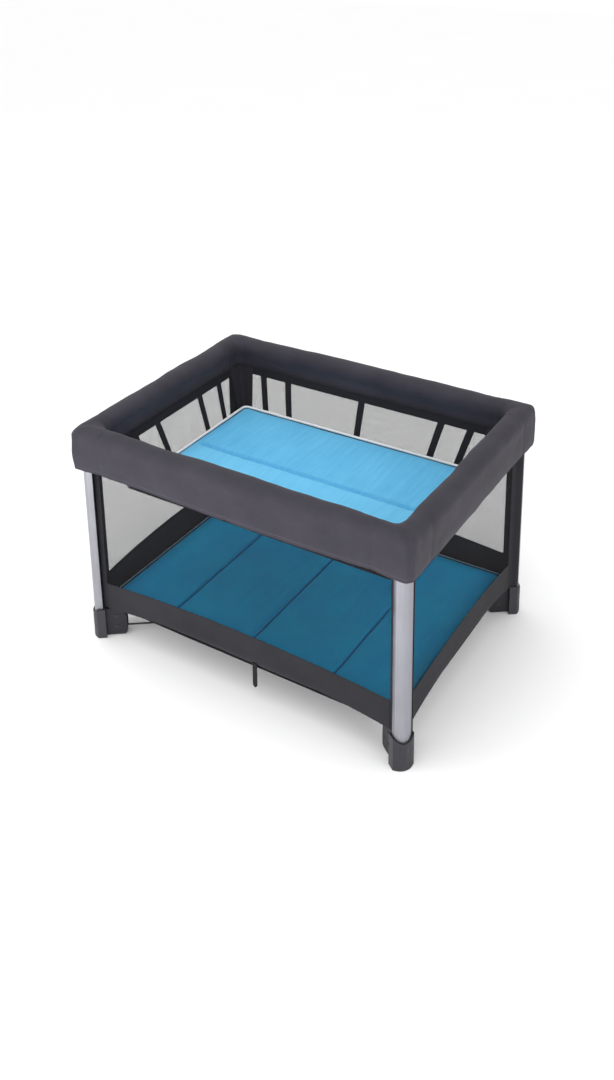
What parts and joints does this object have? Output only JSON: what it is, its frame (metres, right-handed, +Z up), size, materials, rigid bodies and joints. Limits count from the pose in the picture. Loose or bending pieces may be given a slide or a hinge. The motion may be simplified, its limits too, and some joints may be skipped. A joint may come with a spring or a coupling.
{
  "type": "folding playpen",
  "caption": "Rectangular folding playpen with net walls, padded top rails, a floor mattress, a lift-out bassinet and a central folding hub.",
  "frame": {"origin": "on the floor, midway between the feet", "axes": "+Z up, +X along the long side towards the right, front at -Y"},
  "size_m": [1.1, 0.825, 0.7],
  "materials": {
    "leg_aluminium": "anodised, ribbed along its length",
    "dark_plastic": "moulded, fine texture",
    "black_steel": "satin powder coat",
    "cover_fabric": "charcoal plain-weave polyester",
    "net": "open black hexagonal net with charcoal bands",
    "floor_fabric": "black woven lining",
    "mattress_fabric": "quilted blue knit",
    "board": "hardboard",
    "pad_fabric": "sky blue knit with white piping",
    "webbing": "black woven tape"
  },
  "bodies": {
    "leg_rear_left": {"leg_tube_rear_left": "leg_aluminium", "foot_rear_left": "dark_plastic", "corner_bracket_rear_left": "dark_plastic", "corner_fabric_rear_left": "net"},
    "leg_front_left": {"leg_tube_front_left": "leg_aluminium", "foot_front_left": "dark_plastic", "corner_bracket_front_left": "dark_plastic", "corner_fabric_front_left": "net"},
    "leg_front_right": {"leg_tube_front_right": "leg_aluminium", "foot_front_right": "dark_plastic", "corner_bracket_front_right": "dark_plastic", "corner_fabric_front_right": "net", "hanging_strap": "webbing"},
    "leg_rear_right": {"leg_tube_rear_right": "leg_aluminium", "foot_rear_right": "dark_plastic", "corner_bracket_rear_right": "dark_plastic", "corner_fabric_rear_right": "net"},
    "arm_rear_left": {"arm_rear_left": "black_steel"},
    "arm_front_left": {"arm_front_left": "black_steel"},
    "arm_front_right": {"arm_front_right": "black_steel"},
    "arm_rear_right": {"arm_rear_right": "black_steel"},
    "link_rear_left": {"link_rear_left": "black_steel"},
    "link_front_left": {"link_front_left": "black_steel"},
    "link_front_right": {"link_front_right": "black_steel"},
    "link_rear_right": {"link_rear_right": "black_steel"},
    "hub": {"hub_body": "dark_plastic", "hub_cap": "dark_plastic", "hub_handle": "dark_plastic", "floor_fabric": "floor_fabric"},
    "rail_front_left": {"rail_front_left": "black_steel", "cover_front_left": "cover_fabric"},
    "rail_front_right": {"rail_front_right": "black_steel", "cover_front_right": "cover_fabric"},
    "rail_rear_left": {"rail_rear_left": "black_steel", "cover_rear_left": "cover_fabric"},
    "rail_rear_right": {"rail_rear_right": "black_steel", "cover_rear_right": "cover_fabric"},
    "rail_left_front": {"rail_left_front": "black_steel", "cover_left_front": "cover_fabric"},
    "rail_left_rear": {"rail_left_rear": "black_steel", "cover_left_rear": "cover_fabric"},
    "rail_right_front": {"rail_right_front": "black_steel", "cover_right_front": "cover_fabric"},
    "rail_right_rear": {"rail_right_rear": "black_steel", "cover_right_rear": "cover_fabric"},
    "mid_front": {"mid_joint_front": "dark_plastic"},
    "mid_rear": {"mid_joint_rear": "dark_plastic"},
    "mid_left": {"mid_joint_left": "dark_plastic"},
    "mid_right": {"mid_joint_right": "dark_plastic"},
    "mattress": {"mattress_pad": "mattress_fabric", "mattress_board_1": "board", "mattress_board_2": "board", "mattress_board_3": "board", "mattress_board_4": "board"},
    "bassinet": {"bassinet_tub": "net", "bassinet_pad": "pad_fabric", "bassinet_webbing": "webbing", "bassinet_bar_front": "black_steel", "bassinet_bar_rear": "black_steel"}
  },
  "joints": [
    {"name": "frame_fold", "type": "hinge", "parent": "leg_rear_left", "child": "arm_rear_left", "pos_m": [-0.47113, 0.35278, 0.066], "axis": [-0.5912, -0.8065, 0], "range_deg": [0, 78], "deforming": ["corner_fabric_rear_left", "corner_fabric_front_left", "corner_fabric_front_right", "corner_fabric_rear_right", "cover_front_left", "cover_front_right", "cover_rear_left", "cover_rear_right", "cover_left_front", "cover_left_rear", "cover_right_front", "cover_right_rear", "floor_fabric", "hanging_strap", "mattress_pad", "mattress_board_1", "mattress_board_2", "mattress_board_3", "mattress_board_4"]},
    {"name": "hub_hinge", "type": "hinge", "parent": "arm_rear_left", "child": "hub", "pos_m": [-0.04485, 0.04031, 0.066], "axis": [0.5912, 0.8065, 0], "range_deg": [0, 78]},
    {"name": "link_rear_left_hinge", "type": "hinge", "parent": "leg_rear_left", "child": "link_rear_left", "pos_m": [-0.48088, 0.33947, 0.03], "axis": [-0.5912, -0.8065, 0], "range_deg": [0, 78]},
    {"name": "arm_front_left_hinge", "type": "hinge", "parent": "hub", "child": "arm_front_left", "pos_m": [-0.05194, -0.03063, 0.066], "axis": [0.5912, -0.8065, 0], "range_deg": [0, 78]},
    {"name": "leg_front_left_hinge", "type": "hinge", "parent": "arm_front_left", "child": "leg_front_left", "pos_m": [-0.47822, -0.3431, 0.066], "axis": [-0.5912, 0.8065, 0], "range_deg": [0, 78]},
    {"name": "link_front_left_hinge", "type": "hinge", "parent": "hub", "child": "link_front_left", "pos_m": [-0.04218, -0.04394, 0.03], "axis": [0.5912, -0.8065, 0], "range_deg": [0, 78]},
    {"name": "arm_front_right_hinge", "type": "hinge", "parent": "hub", "child": "arm_front_right", "pos_m": [0.04485, -0.04031, 0.066], "axis": [0.5912, 0.8065, 0], "range_deg": [0, 78]},
    {"name": "leg_front_right_hinge", "type": "hinge", "parent": "arm_front_right", "child": "leg_front_right", "pos_m": [0.47113, -0.35278, 0.066], "axis": [-0.5912, -0.8065, 0], "range_deg": [0, 78]},
    {"name": "link_front_right_hinge", "type": "hinge", "parent": "hub", "child": "link_front_right", "pos_m": [0.0546, -0.027, 0.03], "axis": [0.5912, 0.8065, 0], "range_deg": [0, 78]},
    {"name": "arm_rear_right_hinge", "type": "hinge", "parent": "hub", "child": "arm_rear_right", "pos_m": [0.05194, 0.03063, 0.066], "axis": [-0.5912, 0.8065, 0], "range_deg": [0, 78]},
    {"name": "leg_rear_right_hinge", "type": "hinge", "parent": "arm_rear_right", "child": "leg_rear_right", "pos_m": [0.47822, 0.3431, 0.066], "axis": [0.5912, -0.8065, 0], "range_deg": [0, 78]},
    {"name": "link_rear_right_hinge", "type": "hinge", "parent": "hub", "child": "link_rear_right", "pos_m": [0.04218, 0.04394, 0.03], "axis": [-0.5912, 0.8065, 0], "range_deg": [0, 78]},
    {"name": "rail_front_left_hinge", "type": "hinge", "parent": "leg_front_left", "child": "rail_front_left", "pos_m": [-0.465, -0.3775, 0.665], "axis": [0, 1, 0], "range_deg": [0, 78]},
    {"name": "rail_front_right_hinge", "type": "hinge", "parent": "leg_front_right", "child": "rail_front_right", "pos_m": [0.465, -0.3775, 0.665], "axis": [0, -1, 0], "range_deg": [0, 78]},
    {"name": "rail_rear_left_hinge", "type": "hinge", "parent": "leg_rear_left", "child": "rail_rear_left", "pos_m": [-0.465, 0.3775, 0.665], "axis": [0, 1, 0], "range_deg": [0, 78]},
    {"name": "rail_rear_right_hinge", "type": "hinge", "parent": "leg_rear_right", "child": "rail_rear_right", "pos_m": [0.465, 0.3775, 0.665], "axis": [0, -1, 0], "range_deg": [0, 78]},
    {"name": "rail_left_front_hinge", "type": "hinge", "parent": "leg_front_left", "child": "rail_left_front", "pos_m": [-0.515, -0.3345, 0.665], "axis": [-1, 0, 0], "range_deg": [0, 78]},
    {"name": "rail_left_rear_hinge", "type": "hinge", "parent": "leg_rear_left", "child": "rail_left_rear", "pos_m": [-0.515, 0.3345, 0.665], "axis": [1, 0, 0], "range_deg": [0, 78]},
    {"name": "rail_right_front_hinge", "type": "hinge", "parent": "leg_front_right", "child": "rail_right_front", "pos_m": [0.515, -0.3345, 0.665], "axis": [-1, 0, 0], "range_deg": [0, 78]},
    {"name": "rail_right_rear_hinge", "type": "hinge", "parent": "leg_rear_right", "child": "rail_right_rear", "pos_m": [0.515, 0.3345, 0.665], "axis": [1, 0, 0], "range_deg": [0, 78]},
    {"name": "mid_front_hinge", "type": "hinge", "parent": "rail_front_left", "child": "mid_front", "pos_m": [-0.03872, -0.3775, 0.665], "axis": [0, -1, 0], "range_deg": [0, 78]},
    {"name": "mid_rear_hinge", "type": "hinge", "parent": "rail_rear_left", "child": "mid_rear", "pos_m": [-0.03872, 0.3775, 0.665], "axis": [0, -1, 0], "range_deg": [0, 78]},
    {"name": "mid_left_hinge", "type": "hinge", "parent": "rail_left_rear", "child": "mid_left", "pos_m": [-0.515, 0.02203, 0.665], "axis": [-1, 0, 0], "range_deg": [0, 78]},
    {"name": "mid_right_hinge", "type": "hinge", "parent": "rail_right_rear", "child": "mid_right", "pos_m": [0.515, 0.02203, 0.665], "axis": [-1, 0, 0], "range_deg": [0, 78]},
    {"name": "mattress_lift", "type": "slide", "parent": "hub", "child": "mattress", "axis": [0, 0, 1], "range_m": [0, 0.137]},
    {"name": "bassinet_lift", "type": "slide", "parent": "hub", "child": "bassinet", "axis": [0, 0, 1], "range_m": [0, 0.35]}
  ],
  "couplings": [
    {"joint": "hub_hinge", "follows": "frame_fold", "ratio": 1},
    {"joint": "link_rear_left_hinge", "follows": "frame_fold", "ratio": 1},
    {"joint": "arm_front_left_hinge", "follows": "frame_fold", "ratio": 1},
    {"joint": "leg_front_left_hinge", "follows": "frame_fold", "ratio": 1},
    {"joint": "link_front_left_hinge", "follows": "frame_fold", "ratio": 1},
    {"joint": "arm_front_right_hinge", "follows": "frame_fold", "ratio": 1},
    {"joint": "leg_front_right_hinge", "follows": "frame_fold", "ratio": 1},
    {"joint": "link_front_right_hinge", "follows": "frame_fold", "ratio": 1},
    {"joint": "arm_rear_right_hinge", "follows": "frame_fold", "ratio": 1},
    {"joint": "leg_rear_right_hinge", "follows": "frame_fold", "ratio": 1},
    {"joint": "link_rear_right_hinge", "follows": "frame_fold", "ratio": 1},
    {"joint": "rail_front_left_hinge", "follows": "frame_fold", "ratio": 1},
    {"joint": "rail_front_right_hinge", "follows": "frame_fold", "ratio": 1},
    {"joint": "rail_rear_left_hinge", "follows": "frame_fold", "ratio": 1},
    {"joint": "rail_rear_right_hinge", "follows": "frame_fold", "ratio": 1},
    {"joint": "rail_left_front_hinge", "follows": "frame_fold", "ratio": 1},
    {"joint": "rail_left_rear_hinge", "follows": "frame_fold", "ratio": 1},
    {"joint": "rail_right_front_hinge", "follows": "frame_fold", "ratio": 1},
    {"joint": "rail_right_rear_hinge", "follows": "frame_fold", "ratio": 1},
    {"joint": "mid_front_hinge", "follows": "frame_fold", "ratio": 1},
    {"joint": "mid_rear_hinge", "follows": "frame_fold", "ratio": 1},
    {"joint": "mid_left_hinge", "follows": "frame_fold", "ratio": 1},
    {"joint": "mid_right_hinge", "follows": "frame_fold", "ratio": 1},
    {"joint": "mattress_lift", "follows": "frame_fold", "m_per_rad": 0.1}
  ]
}
